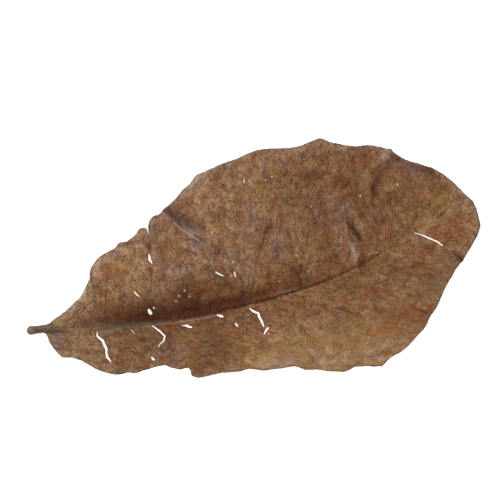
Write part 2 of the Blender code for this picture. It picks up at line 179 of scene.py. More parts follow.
# Shades: places lighter or darker than the rest, partly painted light and shade from how the blade
# lies to the light, and partly the blade's own paler and darker tissue.
# Centre X and Y, reach along and across, the brightness there in hundredths of a power of e, and
# the angle of the long axis if it has one.
SHADES = [
    (-26, -31, 14, 11, -62), (-36, -17, 30, 5, -30, 2), (-5, -20, 9, 6, -35), (30, -18, 32, 8, -20, 4),
    (35, -27, 14, 4, -22, -20), (72, -20, 14, 9, -22, -20), (58, -26, 5, 7, -22), (87, -8, 6, 5, -35),
    (62, -9, 6, 3, -22), (44, -12.5, 7, 2.6, -35, 8), (-60, -14, 12, 5, -46),
    (-80, -10, 10, 4, -20, -12), (-48, -21, 4, 8, -30), (-39, 28, 9, 11, -18, 10), (-43, 24, 3, 7, -26),
    (-33, 38, 4, 5, -40, 30), (-18, 2, 5, 4, -36), (13, 13, 8, 6, -28, 50), (6, 25, 8, 8, -36),
    (28, 30, 12, 5, -30, -10), (42, 12, 7, 14, -16, -15), (37.5, 16, 4, 9, -46, -35),
    (53, 33, 8, 6, -30, -10), (55, 25, 5, 5, -18), (90, 26, 11, 9, -42, 10), (83, 33, 6, 3, -25, -30),
    (74, 20, 8, 5, -16), (-70, -4, 13, 5, -30, -5), (-40, -4, 24, 4.5, -42, -2),
    (45, -51, 20, 7, 74, -3), (20, -45, 24, 7, 28, -14), (-6, -44, 9, 4, 60, -12),
    (2, -34, 14, 5, 12, -15), (88, -27, 16, 5, 30, 52), (113, 9, 4, 10, 30), (-88, 9, 14, 3.6, 60, 45),
    (-62, 28, 20, 3.6, 36, 20), (-56, 19, 7, 9, 36, -20), (-14, 25, 3.6, 10, 46),
    (-17, 53, 20, 3.6, 30, 22), (10, 48, 9, 7, 14), (41, 46, 4, 4, 14), (48, 55, 14, 3, 12, -4),
    (82, 45, 14, 2.6, 16, -38), (50, -33, 3, 8, 16, 20), (0, -2.5, 4, 3.6, 40), (-31, 23, 4, 3, 36),
    (-39, 13, 3, 5, 14), (-20, 10, 4, 3.6, 26), (-4, 37, 3, 3, 14), (57, 14, 3, 4, 36),
    (60, -2, 7, 2.6, 14, 30), (97, -8, 4, 4, 44), (97, 15, 7, 4, 28), (-70, -26, 14, 4, 16, 8),
    (25, -38, 7, 3, 12), (-102, -17.5, 5, 2.6, 50, -15), (-42, 36, 5, 5, -34), (-58, 30, 6, 2.6, -36),
    (-26, 37, 7, 4.5, -30, -45), (-3, 34, 3, 4, 28), (13, 34, 2.8, 9, 36), (62, 24, 5, 6, -40),
    (64, 39, 6, 8, -38), (57, 48, 6, 4, -18), (35, 45, 4, 7, -20), (104, 7, 9, 4, 40, 15),
    (98, 28.5, 5, 3, -40, -40), (-50, -28, 4, 6, -46), (-36, -23, 5, 4, 36), (-43, -35, 4, 3, 22),
    (-86, -22, 4, 4, 24), (39, -20, 4, 3, -18), (46, -28.5, 4, 3, 42), (52, -14, 4, 3, 18),
    (80, -42, 6, 4, -40, 40), (56, -44, 14, 6, 34, -8), (78, -24, 6, 3.6, 26, -10), (88, -17, 4, 3, 18),
    (26, -56, 11, 2, 50, -14), (-9, 6, 5, 6, -20), (14, 4, 8, 4, -26, 10), (40, 1, 4, 4, -18),
    (-83, 8, 3, 6, 24), (-30, 31.5, 3, 3, -36), (-24, 42, 4, 3, -25), (-18, 37, 5, 3, -20),
    (-76, 25, 4, 4, 34), (-40, -3, 18, 3, -20), (-57, -28, 6, 3, -14), (43, 22, 3, 4, -18),
    (64, 15, 4, 5, -36), (77, 41, 4, 2.6, 34), (27, 7, 2.6, 5, 22), (28, -36, 7, 3, 16, -20),
    (77, -36, 5, 3, 22), (92, -3, 4, 3, 20), (14, -23, 8, 4, -12), (-44, 11, 3, 5, -26),
    (-27, 35, 8, 2.6, -30, -48), (13, 59, 6, 2.5, 40), (88, 37.5, 8, 2, 26, -32), (-55, 10, 3.5, 6, 16),
    (-45, -10.4, 15, 1.8, 32, -2), (-20, -10.4, 10, 2.2, 34), (8, -11.4, 13, 2.2, 40, 3),
    (36, -10, 8, 2.6, 16, 8), (54, -6, 6, 3, 20, 20), (-86, 4, 5, 4, 20, 20), (60, -50, 8, 5, 18),
    (-72, -22, 34, 11, -9, -8), (-6, 54, 5, 4, -72), (-36, 40, 4, 4, -24), (-21, 20, 3, 3, -26),
    (-78, 12, 4, 4, -20), (-13, -2, 6, 6, -44), (38, 30, 3, 6, 26), (106, 19, 5, 5, -26, -45),
    (-102, -8, 6, 4, -30, -50), (-33, 5, 4, 5, -48), (49, 20, 3, 7, -42, 10), (14, -5, 5, 2.6, 22),
    (-16, -34, 8, 3, 16, -10), (29, 36, 7, 7, -28), (48, 34, 3, 5, -20), (0, 47, 5, 7, 34),
    (-63, -25, 5, 5, -30), (-29, -27, 5, 6, -22), (-8, 12, 5, 4, -28), (30, 14, 3, 4, 24),
    (35, 0, 10, 3, 16, -20), (-98, 2.6, 6, 2, 40, 30), (37, -35, 3, 4, -26), (73, -40, 4, 4, -20),
]
# Painted light along the margin, as a power of e added to the shades.
MARGIN_PAINTED_LIGHT = 0.10

CREASE_STEP = 0.55
# Creases with less than this half width, in hundredths, get their own rows of points: one on the
# line, and one on each side at this many half widths.
NARROW_CREASE = 70
CREASE_ROW_OUT = 1.3
CREASE_CLEAR = 0.42
SMALLEST_GAP = 0.26
# Creases: half the width in hundredths of a millimetre, how dark in percent, how far up or down,
# and a line through it. Their darkness is painted shade in the creases, and partly darker tissue.
CREASES = [
    (115, 85, -0.4, [(-36.2, 41.8), (-33, 39), (-30.8, 35), (-28.8, 31.3)]),
    (35, 80, -0.3, [(-29.5, 27.5), (-26, 24.5), (-22.2, 21)]),
    (40, 80, -0.3, [(-25, 27.5), (-22, 24.2), (-19.3, 20.5)]),
    (90, 80, -0.3, [(-46.9, 30), (-47, 27), (-47.6, 23.8), (-48, 22.4)]),
    (35, 60, -0.3, [(-49, 16), (-50.2, 8), (-51.3, 5), (-52.2, 1.2), (-53.6, -2.4)]),
    (55, 80, -0.3, [(-14.9, 13), (-13.4, 15.2), (-12.3, 16.6)]),
    (60, 60, -0.3, [(-18.8, 9), (-19.3, 5.5), (-18.5, 3)]),
    (75, 60, -0.2, [(-31.8, -9.8), (-29.5, -6), (-27.3, -2.4)]),
    (80, 70, -0.4, [(18.4, 0.8), (20, -2.5), (22, -5.2), (23.5, -3.4), (25.2, -0.5)]),
    (60, 60, -0.3, [(22, -5), (22.2, -9), (21.8, -12.4)]),
    (60, 80, -0.4, [(10.3, 17), (11.3, 18.8), (13, 20.4), (14.4, 22.5), (15, 25.6)]),
    (40, 40, -0.3, [(1, 0.5), (5, 8.5), (8, 13), (10.3, 17)]),
    (40, 60, -0.2, [(14.9, 5.5), (15, 9), (15.3, 12.2)]),
    (38, 60, -0.2, [(20.4, 18.6), (22, 15.4), (22.9, 12)]),
    (40, 55, -0.3, [(33.6, 15.8), (30.5, 10.5), (29, 6), (26.6, 1.6)]),
    (100, 66, -0.6, [(50.2, 19.2), (51.6, 14), (54.2, 9.6), (56.2, 5.5), (57, 2.2)]),
    (50, 80, -0.3, [(43.5, 39.7), (47, 40.1), (50.5, 39.9)]),
    (55, 85, -0.4, [(52.4, 31), (55.5, 32.1), (59.3, 34)]),
    (90, 75, -0.5, [(83, 41.4), (79.5, 39.6), (75, 38), (72.4, 36.4), (70, 34.2), (68.6, 31)]),
    (100, 95, -0.5, [(68.4, 30.6), (67.9, 27.5), (67.6, 24.9)]),
    (38, 60, -0.2, [(84.1, 35.3), (84.4, 31)]),
    (35, 50, -0.2, [(85.9, 35.4), (85.5, 31.4)]),
    (170, 52, 0, [(83.6, 39.6), (90, 35), (96, 30.6), (100.8, 27.4)]),
    (50, 85, -0.3, [(95.6, 5.2), (99.4, 7.3), (102, 8.1)]),
    (55, 85, -0.4, [(35.8, -25.7), (40.8, -28.8), (46.2, -32.7)]),
    (40, 60, -0.2, [(60.5, -15), (66, -15.7), (70, -15)]),
    (50, 75, -0.3, [(78.4, -12.7), (81.5, -14), (85.2, -15.3)]),
    (45, 90, -0.3, [(77, -37.6), (78.8, -38.2), (80, -40)]),
    (38, 60, -0.2, [(72.8, -33), (74, -34.8), (75.4, -36.7)]),
    (40, 75, -0.4, [(-98.2, -0.7), (-94.5, -0.9), (-92.2, 0.6), (-90.3, 2.2)]),
    (38, 60, -0.2, [(-87.6, 1.5), (-85.6, 3.2), (-84.1, 5.4)]),
    (50, 70, -0.3, [(-79.6, 6.4), (-79, 12), (-78.7, 17), (-78, 21)]),
    (40, 60, -0.2, [(-66.6, 28.6), (-65.2, 27), (-63.7, 25.7)]),
    (100, 60, 0, [(-62.4, 29.6), (-58, 29.2), (-54.3, 30)]),
    (42, 70, -0.3, [(-41.5, -42.6), (-39.4, -40.4), (-35.8, -38.5)]),
    (90, 80, -0.3, [(100, -13), (101.8, -14.8), (103.5, -17.6)]),
    (48, 80, -0.5, [(-103.7, -0.2), (-103.1, -2.7), (-100.5, -3.5), (-96.5, -4.1)]),
    (40, 50, -0.2, [(-14.8, 45.6), (-14.6, 41)]),
    (45, 50, -0.2, [(72, 22), (76, 23.6), (80, 23.8)]),
    (80, 55, -0.2, [(-66, -11.2), (-60, -11), (-50, -12), (-42, -12.4)]),
]
# Glints: raised crests with a painted highlight along them. The same four entries, with how pale
# the highlight is for how dark.
GLINTS = [
    (30, 95, 0.6, [(-32.3, 34.7), (-30.2, 31.2), (-28, 28.8), (-25.3, 25.4), (-21.8, 22)]),
    (40, 80, 0.3, [(-47.5, 29.6), (-47.1, 27.6)]),
    (35, 50, 0.3, [(-18.3, 6), (-18.7, 10), (-17.3, 13.8)]),
    (32, 100, 0.3, [(22.4, 3.8), (23.4, 4.4), (24.6, 3.2)]),
    (55, 25, 0.5, [(51.5, 19), (50.6, 12), (50.6, 7), (51, 2)]),
    (85, 100, 0.3, [(50.8, 4.5), (51.4, 1), (51.8, -1.8), (52.1, -5.2)]),
    (30, 50, 0.2, [(-62, -12.8), (-45, -14.5), (-28, -15.8), (-18, -16)]),
    (34, 40, 0.1, [(9, -12.3), (15, -12.5), (20.5, -12)]),
    (42, 70, 0.3, [(-102.9, 1), (-102.8, -1.9)]),
    (35, 60, 0.2, [(59.8, -13.8), (61.5, -15.4), (63.2, -17.2)]),
    (35, 50, 0.1, [(-31.8, -3), (-33, -2), (-33.8, -4)]),
]
# Specks of painted glare, each a centre and a radius.
SPECKS = [
    (-40.6, -3.9, 0.27), (-38.5, -1.9, 0.37), (-35.4, 0, 0.27), (-33.4, -3.6, 0.41), (20.4, 45.1, 0.31),
    (17, 44, 0.2), (61.1, 25.6, 0.31), (62.5, -4.1, 0.31), (47.4, -46.7, 0.34), (48.7, -44.3, 0.27),
    (0.7, -30.8, 0.24), (-8.5, 8.2, 0.34), (-27, 45, 0.2), (36, 26, 0.24), (80.6, 26.6, 0.31),
    (12, -6.6, 0.24), (-10.6, 1.8, 0.24), (27.5, -5, 0.24), (-62, 9, 0.24), (-52.5, 27, 0.2),
]

# Stains: centre X and Y, reach along and across, strength in percent, and the angle as above.
# The dark marks are stains, and painted shadows on the flanks of the folds and along a turned-down
# margin, where they face away from the light.
DARK_STAINS_AND_SHADOWS = [
    (21, -4, 5, 3, 35, 60), (-26, 33.5, 11, 3.2, 70, -48), (-33, 40.5, 4.5, 2.5, 70, -55),
    (54.5, 8.5, 8, 1.8, 60, -70), (69, 28, 7, 1.8, 70, 70), (76, 36.5, 6, 1.6, 60, 35),
    (93, 32.5, 10.5, 2.8, 66, -32), (83, 40.5, 3.5, 2.6, 80, -40), (103, -16.8, 2.6, 1.6, 90, -45),
    (18, 57.6, 6, 2, 60), (41, 41, 8, 2.2, 50, -4), (12, 19.5, 5.5, 1.5, 50, 42),
    (53, 34.5, 6, 2.6, 45, -12), (76, 21.5, 6, 3, 40, 10), (44, -30, 5, 1.2, 50, -38),
    (74, -14.6, 12, 1, 55), (-34, -39, 7, 3.5, 40, 10), (77.5, -37.5, 4, 1.2, 60, -30),
    (-35, 0.5, 4.5, 4, 60, 30), (-54, -6, 3.2, 3.4, 55), (-102, -15, 4.5, 2.5, 30, -60),
    (100, 8, 3.4, 0.7, 50, 25),
]
RUST_STAINS = [
    (101, -1.5, 9, 4.5, 80, -12), (69, 6, 6, 5, 55, 30), (82, -9.5, 9, 4, 55, -15), (94, 14, 10, 6, 55),
    (12, -8, 17, 4.6, 100, 2), (-10, -28, 13, 6, 45, -12), (70, -38, 14, 5, 60, -15),
    (-54, -3, 4, 4, 60), (62, 40, 10, 5, 50, -12), (38, 2, 6, 8, 35), (-18, 12, 7, 3, 60, 35),
    (-15, -9.5, 13, 4, 95), (54, -23, 8, 5, 45, -25), (-66, 18, 6, 5, 60), (-34, -8, 14, 3, 40, -3),
    (-32, -3, 5, 4, 90), (-70, -3, 14, 4, 45, -3), (97, -6, 5, 4, 85, -30), (20, -21, 19, 5, 50, -5),
    (72, 0, 6, 4, 40), (52, 35, 6, 3, 50), (60, 22, 4, 6, 50), (56, -44, 15, 6, 85, 12),
    (43, -28, 5, 6, 50), (106, -1, 6, 8, 90, -20), (54, -2, 10, 2.6, 60, 18), (34, -8, 12, 2.6, 70, 8),
    (65, 43, 5, 5, 60), (53.5, 34.5, 4, 4, 60), (82, -19, 9, 5, 50, -20), (41, 9, 4, 5, 60),
    (36, -1, 4, 4, 60), (75, -35, 4, 3, 60, -30), (-13, -36, 5, 5, 50), (55, -8, 8, 3.4, 90, 12),
    (-75, -27, 9, 4, 50), (33, -14, 4, 8, 60, 10), (-47, -17, 4, 6, 60),
]
OLIVE_STAINS = [
    (-55, 8, 5.5, 5.5, 70), (-79.5, 13, 3, 5, 70, 25), (70, -7, 13, 4, 80, 5), (33, -19, 18, 4.5, 75, 4),
    (-35, -24, 13, 6, 50, -5), (30, 6, 7, 9, 50), (-90, -12, 11, 6, 60), (18, -38, 16, 7, 50, -15),
    (48, -37, 12, 5, 50, -20), (50, -55, 9, 3, 40, -5), (-15, 50, 7, 5, 35, 10), (93, 12, 14, 8, 65, 5),
    (-62, 20, 8, 4.5, 60, 10), (-42, 31, 9, 5, 75, 25), (-72, -28, 6, 4, 50), (-12, -35, 14, 6, 80, -20),
    (50, -46, 15, 5, 35, -5), (56, -10, 7, 4, 70, 12), (70, 25, 14, 7, 60), (16, 34, 2.6, 8, 45),
    (-3, 39, 6, 3, 50), (-18, -4, 6, 8, 60), (84, -26, 5, 7, 50, 30), (-38, -35, 6, 6, 60),
    (9, -21, 5, 4, 60), (42, -35, 5, 7, 60, 20), (-65, -6, 5, 5, 50), (-38, 26, 4, 5, 60),
]
# Mauve stains. The second row, along the crest of the fold near X 51, is painted sheen, the lilac of a
# highlight.
MAUVE_STAINS_AND_SHEEN = [
    (-28, 33, 14, 4.2, 85, -52), (51.4, 0.5, 5.5, 1.4, 100, 88), (52.5, 20, 4.5, 2.4, 70, -70),
    (-46, 19, 4, 5, 50), (-10, 12, 4, 7, 60, 10), (17.5, 50, 2.4, 6, 60), (15, 12, 5, 9, 50),
    (-16, 52, 9, 6, 60, 30), (-84, 2, 5, 6, 40), (76, 45, 10, 3, 60, -35), (38, -28, 5, 2.4, 50, -20),
    (-63, -25, 6, 6, 40), (27, 34, 7, 8, 30), (8, -48, 10, 3, 40, -12), (22, -52, 6, 3, 40, -12),
    (-18, 14, 5, 5, 40), (-103, -10, 5, 8, 70, 15), (50, -56, 8, 2, 50, -4), (9, 30, 3.4, 9, 40),
    (-80, -15, 8, 9, 50), (-38, 10, 11, 7, 60), (-23, 20, 5, 6, 80), (-3, 8, 4, 12, 50),
    (6, 25, 4, 8, 55, -12), (49, 19, 3.4, 9, 60), (57, 11, 5, 3, 40), (-49, -27, 5, 9, 60),
    (-40, 36, 6, 5, 40), (110, 0, 4, 8, 35), (89, 34, 10, 3, 85, -34), (46, 11, 2.4, 5, 60),
    (-116, -1, 2, 3, 60), (-52, 4, 3, 6, 50), (-95, -12, 7, 6, 40),
]
# The dark band of the broader half beside the midrib, partly a stain and partly painted shade where
# the blade rises steeply from the midrib away from the light: X, its width and its strength.
MIDRIB_BAND = [
    (-100, 3, 0), (-88, 5, 0.35), (-72, 7, 0.7), (-55, 8.5, 1), (-20, 8.5, 1), (0, 7, 0.75),
    (22, 6, 0.55), (40, 3.5, 0.4), (66, 2, 0.3), (76, 2, 0),
]
# How grey the midrib is: X, and the strength.
RIB_TINT = [
    (-106, 1), (-98, 0.55), (-90, 0.45), (-78, 0.8), (-60, 0.9), (-46, 0.5), (-25, 0.15), (0, 0),
]
KNOB = (-115.8, -1, 3.4, 3, 82)
AURICLE = (-100.3, -0.9, 2.9, 1.9, 100, -12)

# Camera: straight above the leaf, turned so that the leaf points up and to the right.
CAMERA_TURN = math.radians(-13.5)
CAMERA_CENTRE = (1.33 * MILLIMETRE, 12.14 * MILLIMETRE)
FIELD_SIDE = 0.250
CAMERA_LENS = 200.0
SENSOR_WIDTH = 36.0
# The floor and the light, in metres and watts.
LAMP_PLACE = Vector((-0.62, 0.86, 0.95))
LAMP_SIZE = 0.7
LAMP_POWER = 16.0
SURROUND_STRENGTH = 0.50
FLOOR_HALF = 6.0
FLOOR_GLOW = 0.74


class Noise:
    """Smooth gradient noise over the plan, from about -1 to 1."""

    SIZE = 256

    def __init__(self, seed):
        angles = np.random.RandomState(seed).uniform(0, 2 * math.pi, (self.SIZE, self.SIZE))
        self.gradients = np.stack([np.cos(angles), np.sin(angles)], axis=-1)

    def __call__(self, x, y):
        column, row = np.floor(x).astype(int), np.floor(y).astype(int)
        u, v = x - column, y - row
        total = np.zeros(np.shape(u))
        for i in (0, 1):
            for j in (0, 1):
                gradient = self.gradients[(column + i) % self.SIZE, (row + j) % self.SIZE]
                corner = gradient[..., 0] * (u - i) + gradient[..., 1] * (v - j)
                total += corner * fade(1 - np.abs(u - i)) * fade(1 - np.abs(v - j))
        return total * 1.6


def fade(t):
    return t * t * t * (t * (t * 6 - 15) + 10)


def smoothstep(low, high, value):
    t = np.clip((value - low) / (high - low), 0, 1)
    return t * t * (3 - 2 * t)


def cell_borders(x, y, seed):
    """How near each place is to the border of its cell in an irregular net: 0 on the border."""
    draws = np.random.RandomState(seed).uniform(0.1, 0.9, (64, 64, 2))
    column, row = np.floor(x).astype(int), np.floor(y).astype(int)
    nearest = np.full(np.shape(x), np.inf)
    second = np.full(np.shape(x), np.inf)
    for i in (-1, 0, 1):
        for j in (-1, 0, 1):
            place = draws[(column + i) % 64, (row + j) % 64]
            gap = np.hypot(column + i + place[..., 0] - x, row + j + place[..., 1] - y)
            second = np.minimum(second, np.maximum(nearest, gap))
            nearest = np.minimum(nearest, gap)
    return second - nearest


def slope(before, here, after, gap_before, gap_after):
    """The direction of a curve at one of the points that it goes through."""
    return ((here - before) / gap_before - (after - before) / (gap_before + gap_after)
            + (after - here) / gap_after)


def smooth_curve(points, step, closed=False):
    """Points about one step apart on a centripetal Catmull-Rom curve through the given ones."""
    knots = [np.array(p, float) for p in points]
    if closed:
        knots = [knots[-1], *knots, knots[0], knots[1]]
    else:
        knots = [2 * knots[0] - knots[1], *knots, 2 * knots[-1] - knots[-2]]
    curve = []
    for before, start, end, after in zip(knots, knots[1:], knots[2:], knots[3:]):
        ends = ((before, start), (start, end), (end, after))
        gaps = [math.sqrt(np.hypot(*(b - a))) for a, b in ends]
        leave = slope(before, start, end, *gaps[:2]) * gaps[1]
        arrive = slope(start, end, after, *gaps[1:]) * gaps[1]
        count = max(1, round(np.hypot(*(end - start)) / step))
        t = (np.arange(count) / count)[:, None]
        ease = 3 * t**2 - 2 * t**3
        curve.append((1 - ease) * start + ease * end
                     + (t**3 - 2 * t**2 + t) * leave + (t**3 - t**2) * arrive)
    if not closed:
        curve.append(knots[-2][None])
    return np.vstack(curve)


def offset_from_line(points, line):
    """How far each plan point lies from a line of straight runs, above zero on the line's left,
    and how far along the line its nearest place is, from 0 to 1."""
    nearest = np.full(len(points), np.inf)
    along = np.zeros(len(points))
    for i, (start, end) in enumerate(zip(line, line[1:])):
        run = end - start
        share = np.clip((points - start) @ run / (run @ run), 0, 1)
        gap = points - start - share[:, None] * run
        offset = np.hypot(*gap.T) * np.where(run[0] * gap[:, 1] < run[1] * gap[:, 0], -1, 1)
        closer = np.abs(offset) < np.abs(nearest)
        nearest = np.where(closer, offset, nearest)
        along = np.where(closer, (i + share) / (len(line) - 1), along)
    return nearest, along


def distance_to_loops(points, loops):
    closed = [np.vstack([loop, loop[:1]]) for loop in loops]
    return np.min([np.abs(offset_from_line(points, line)[0]) for line in closed], axis=0)


def inside(points, loop):
    """Whether each plan point is inside a closed loop, by counting crossings."""
    found = np.zeros(len(points), bool)
    for (x0, y0), (x1, y1) in zip(loop, np.roll(loop, -1, axis=0)):
        spans = (y0 > points[:, 1]) != (y1 > points[:, 1])
        if y0 != y1:
            found ^= spans & (points[:, 0] < (x1 - x0) * (points[:, 1] - y0) / (y1 - y0) + x0)
    return found


def along_x(rows, x, column=1):
    """One column of a table whose first column is X, read at each x."""
    table = np.array(rows)
    return np.interp(x, table[:, 0], table[:, column])


def chained(starts_to_ends):
    """The closed loops that a set of directed edges makes."""
    left = dict(starts_to_ends)
    loops = []
    while left:
        first, at = left.popitem()
        loop = [first]
        while at != first:
            loop.append(at)
            at = left.pop(at)
        loops.append(loop)
    return loops


def read_cad_leaf():
    """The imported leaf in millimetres: the points of its upper and lower skins, and its margin."""
    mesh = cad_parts[NODE].data
    mesh.calc_loop_triangles()
    points = np.array([vertex.co for vertex in mesh.vertices], float)
    faces = np.array([triangle.vertices for triangle in mesh.loop_triangles])
    points, index = np.unique(np.round(points / MILLIMETRE, 3), axis=0, return_inverse=True)
    faces = index.reshape(-1)[faces]
    a, b, c = (points[faces[:, i]] for i in range(3))
    normals = np.cross(b - a, c - a)
    lean = normals[:, 2] / np.maximum(np.linalg.norm(normals, axis=1), 1e-9)
    upper, lower = faces[lean > SKIN_LEAN], faces[lean < -SKIN_LEAN]
    rim = rim_edges(upper).tolist()
    margin = points[max(chained(rim), key=len)][:, :2]
    return points[np.unique(upper)], points[np.unique(lower)], margin


def torn(points, noise):
    """A rim moved by the leaf's irregular tearing, alike on both sides of a narrow crack."""
    x, y = points.T
    coarse, fine = 4.6, 1.5
    shift = 0.22 * np.c_[noise(x / coarse, y / coarse), noise(y / coarse + 40, x / coarse)]
    small = 0.14 * np.c_[noise(x / fine + 9, y / fine), noise(y / fine, x / fine + 70)]
    return points + shift + small


def leftward(line):
    """Unit vectors square to a line, on its left."""
    run = np.gradient(line, axis=0)
    run /= np.hypot(*run.T)[:, None]
    return np.c_[-run[:, 1], run[:, 0]]


def crack_rim(rows):
    """A crack's outline from its centre line."""
    knots = np.array(rows) / (1, 1, 100)
    along = np.concatenate([[0], np.cumsum(np.hypot(*np.diff(knots[:, :2], axis=0).T))])
    places = np.linspace(0, along[-1], max(4, round(along[-1] / CRACK_STEP)))
    x, y, half = (np.interp(places, along, knots[:, i]) for i in range(3))
    centre = np.c_[x, y]
    out = leftward(centre) * (half + CRACK_WIDENING)[:, None]
    return np.vstack([centre + out, (centre - out)[::-1]])


def leaf_rims(margin, spine):
    """The leaf's outline, its petiole thinned and its sharp corners drawn out, and the cracks'."""
    outline = smooth_curve(margin, RIM_STEP, closed=True)
    middle = np.interp(outline[:, 0], *spine.T)
    waist = along_x(PETIOLE_WAIST, outline[:, 0])
    outline[:, 1] = middle + waist * (outline[:, 1] - middle)
    for x, y, out_x, out_y in CORNERS:
        near = np.exp(-np.hypot(outline[:, 0] - x, outline[:, 1] - y) / CORNER_REACH)
        outline += near[:, None] * (out_x, out_y)
    noise = Noise(3)
    return [torn(outline, noise)] + [torn(crack_rim(rows), noise) for rows in CRACKS]


def lattice(margin, spine):
    """A slightly irregular lattice of points over the leaf, clear of the midrib."""
    low, high = margin.min(axis=0), margin.max(axis=0)
    ys = np.arange(low[1], high[1], LATTICE_STEP * math.sqrt(3) / 2)
    xs = np.arange(low[0], high[0], LATTICE_STEP)
    points = np.array([(x + LATTICE_STEP / 2 * (row % 2), y) for row, y in enumerate(ys) for x in xs])
    points += np.random.RandomState(5).uniform(-1, 1, points.shape) * LATTICE_JITTER
    offset, _ = offset_from_line(points, spine)
    return points[np.abs(offset) > along_x(RIB_SECTIONS, points[:, 0]) + RIB_CLEAR]


def rib_row(spine, share):
    """Points along the midrib at a share of its half width."""
    return spine + leftward(spine) * (share * along_x(RIB_SECTIONS, spine[:, 0]))[:, None]


def crease_rows():
    """Points along each narrow crease and glint, on its line and on both sides of it."""
    for half, _, _, knots in CREASES + GLINTS:
        if half < NARROW_CREASE:
            line = smooth_curve(knots, CREASE_STEP)
            out = leftward(line) * CREASE_ROW_OUT * (half / 100)
            yield np.vstack([line, line + out, line - out])


def detail_points(spine):
    """Points that the fine details need: along the midrib and the creases, and at the specks."""
    rows = [rib_row(spine, share) for share in RIB_ROWS]
    rows += [row[row[:, 0] < BULGE_END] for row in (rib_row(spine, share) for share in BULGE_ROWS)]
    points = np.vstack([*rows, *crease_rows(), np.array(SPECKS)[:, :2]])
    _, kept = np.unique(np.round(points / SMALLEST_GAP), axis=0, return_index=True)
    return points[np.sort(kept)]


def fine_plan(rims, points, details):
    """The fine plan: points and triangles, with the rims as edges."""
    points = np.vstack([points[distance_to_nearest(points, details) > CREASE_CLEAR], details])
    keep = in_leaf(points, rims) & (distance_to_loops(points, rims) > SMALLEST_GAP)
    everything = [Vector(p) for p in np.vstack([*rims, points[keep]])]
    edges = []
    first = 0
    for rim in rims:
        edges += [(first + i, first + (i + 1) % len(rim)) for i in range(len(rim))]
        first += len(rim)
    plan, _, triangles, *_ = delaunay_2d_cdt(everything, edges, [], 0, 1e-6)
    plan, triangles = np.array([tuple(p) for p in plan]), np.array(triangles)
    keep = in_leaf(plan[triangles].mean(axis=1), rims)
    used, triangles = np.unique(triangles[keep], return_inverse=True)
    return plan[used], triangles.reshape(-1, 3)


def in_leaf(points, rims):
    """Whether each plan point is inside the outline and outside every crack."""
    found, *cracked = [inside(points, rim) for rim in rims]
    return found & ~np.any(cracked, axis=0)


def plan_tree(places):
    """The plan points in a tree that finds the nearest ones."""
    tree = kdtree.KDTree(len(places))
    for i, (x, y) in enumerate(places):
        tree.insert((x, y, 0), i)
    tree.balance()
    return tree


def distance_to_nearest(points, places):
    tree = plan_tree(places)
    return np.array([tree.find((x, y, 0))[2] for x, y in points])


def sampled(places, heights, points):
    """Heights at the points from scattered places, by a quadratic through each one's nearest."""
    tree = plan_tree(places)
    found = [tree.find_n((x, y, 0), NEIGHBOURS) for x, y in points]
    near = np.array([[hit[1] for hit in hits] for hits in found])
    gaps = np.array([[hit[2] for hit in hits] for hits in found])
    weights = (1 - (gaps / (gaps[:, -1:] * 1.001)) ** 2) ** 2
    reach = gaps[:, -1]
    u, v = ((places[near] - points[:, None]) / reach[:, None, None]).transpose(2, 0, 1)
    terms = np.stack([np.ones_like(u), u, v, u * u, u * v, v * v], axis=-1)
    weighted = terms * weights[..., None]
    left = np.einsum("nki,nkj->nij", weighted, terms) + 1e-5 * np.eye(6)
    right = np.einsum("nki,nk->ni", weighted, heights[near])
    return np.linalg.solve(left, right[..., None])[:, 0, 0]


def turned(x, y, degrees):
    """Coordinates along and across an axis that is turned by an angle."""
    c, s = np.cos(np.radians(degrees)), np.sin(np.radians(degrees))
    return x * c + y * s, y * c - x * s


def spots(points, rows, noise, sharpness):
    """Each row's spot at each point, times its strength: an ellipse with an irregular outline."""
    x, y = points.T
    # The outline strays by up to about 3 mm, in broad waves and small ones.
    stray_x = 2.2 * noise(x / 5, y / 5) + 0.9 * noise(x / 1.9 + 7, y / 1.9)
    stray_y = 2.2 * noise(y / 5 + 31, x / 5) + 0.9 * noise(y / 1.9, x / 1.9 + 11)
    for centre_x, centre_y, reach, breadth, strength, *angle in rows:
        ragged = min(1.0, breadth / 4)
        away_x, away_y = x + ragged * stray_x - centre_x, y + ragged * stray_y - centre_y
        along, across = turned(away_x, away_y, *(angle or [0]))
        yield strength / 100 * np.exp(-((along / reach) ** 2 + (across / breadth) ** 2) ** sharpness)


def stained(points, rows, seed):
    """Where a set of stains lies, from 0 to 1."""
    return np.max(list(spots(points, rows, Noise(seed), 1.5)), axis=0)


def vein_net(points, veins):
    """The nearest side vein at each point: how far it is, and how strong it is there."""
    distance, strength = np.full(len(points), np.inf), np.zeros(len(points))
    for vein in veins:
        offset, along = offset_from_line(points, smooth_curve(vein, VEIN_STEP))
        closer = np.abs(offset) < distance
        distance = np.where(closer, np.abs(offset), distance)
        strength = np.where(closer, 1 - 0.75 * smoothstep(0.2, 1, along), strength)
    return distance, strength


